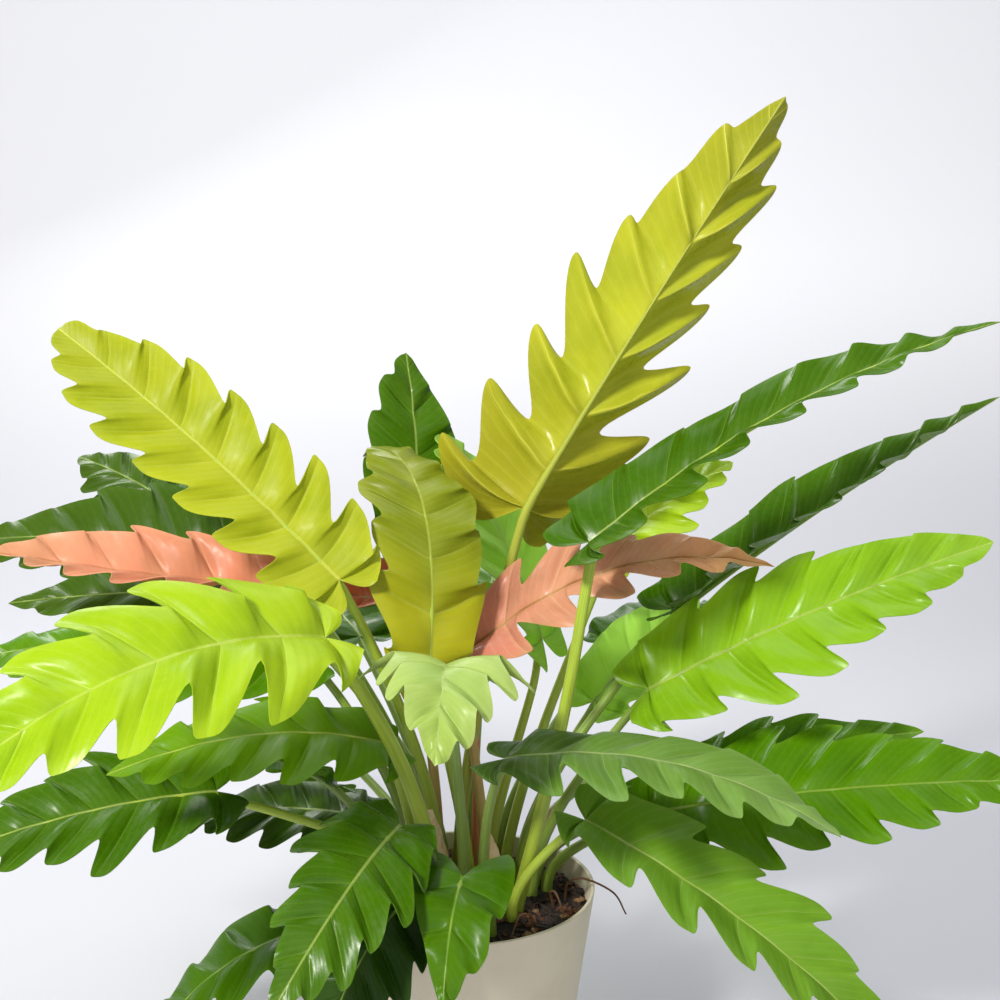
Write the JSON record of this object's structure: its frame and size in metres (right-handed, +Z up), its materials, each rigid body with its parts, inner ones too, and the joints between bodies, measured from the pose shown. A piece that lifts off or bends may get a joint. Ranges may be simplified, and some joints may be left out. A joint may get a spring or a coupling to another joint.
{
  "type": "potted golden pluto philodendron",
  "caption": "Potted aroid house plant with long toothed golden, green and salmon leaves on tall stalks, growing from soil in a plain tapered round pot.",
  "frame": {"origin": "centre of the pot's foot, on the surface that the pot stands on", "axes": "+Z up along the pot's axis, -Y towards the plant's front, +X to the right seen from the front"},
  "size_m": [0.86, 0.7457, 0.79],
  "materials": {
    "leaf_gold": "satin",
    "leaf_chartreuse": "satin",
    "leaf_bright": "satin",
    "leaf_green": "satin",
    "leaf_dark": "satin",
    "leaf_salmon": "satin",
    "leaf_coral": "satin",
    "shoot": "satin",
    "sheath": "matte",
    "root": "matte",
    "soil": "matte",
    "pot": "satin"
  },
  "bodies": {
    "root": {"pot": "pot", "soil": "soil", "leaf_gold_top": "leaf_gold", "leaf_gold_left": "leaf_gold", "leaf_olive": "leaf_gold", "leaf_salmon_left": "leaf_salmon", "leaf_coral_right": "leaf_coral", "leaf_dark_high": "leaf_dark", "leaf_dark_mid": "leaf_dark", "leaf_bright_right": "leaf_bright", "leaf_front_right": "leaf_dark", "leaf_right_mid": "leaf_green", "leaf_right_low": "leaf_green", "leaf_low_right": "leaf_bright", "leaf_chartreuse": "leaf_chartreuse", "leaf_front_small": "leaf_chartreuse", "leaf_dark_back": "leaf_dark", "leaf_dark_far": "leaf_dark", "leaf_dark_side": "leaf_dark", "leaf_edge_left": "leaf_green", "leaf_green_low": "leaf_green", "leaf_pale": "leaf_green", "leaf_low_dark": "leaf_dark", "leaf_front_left": "leaf_dark", "leaf_front_low": "leaf_dark", "leaf_front_centre": "leaf_bright", "leaf_bottom_left": "leaf_green", "leaf_back_top": "leaf_dark", "leaf_back_light": "leaf_bright", "leaf_back_yellow": "leaf_chartreuse", "leaf_back_centre": "leaf_bright", "leaf_back_low": "leaf_green", "leaf_rear_left": "leaf_dark", "leaf_rear": "leaf_green", "leaf_rear_right": "leaf_dark", "leaf_rear_low_left": "leaf_green", "leaf_rear_low_right": "leaf_green", "new_shoot": "shoot", "root_right": "root", "root_middle": "root", "root_front": "root", "sheath_left": "sheath", "sheath_front": "sheath", "sheath_middle": "sheath", "sheath_right": "sheath"}
  },
  "joints": []
}
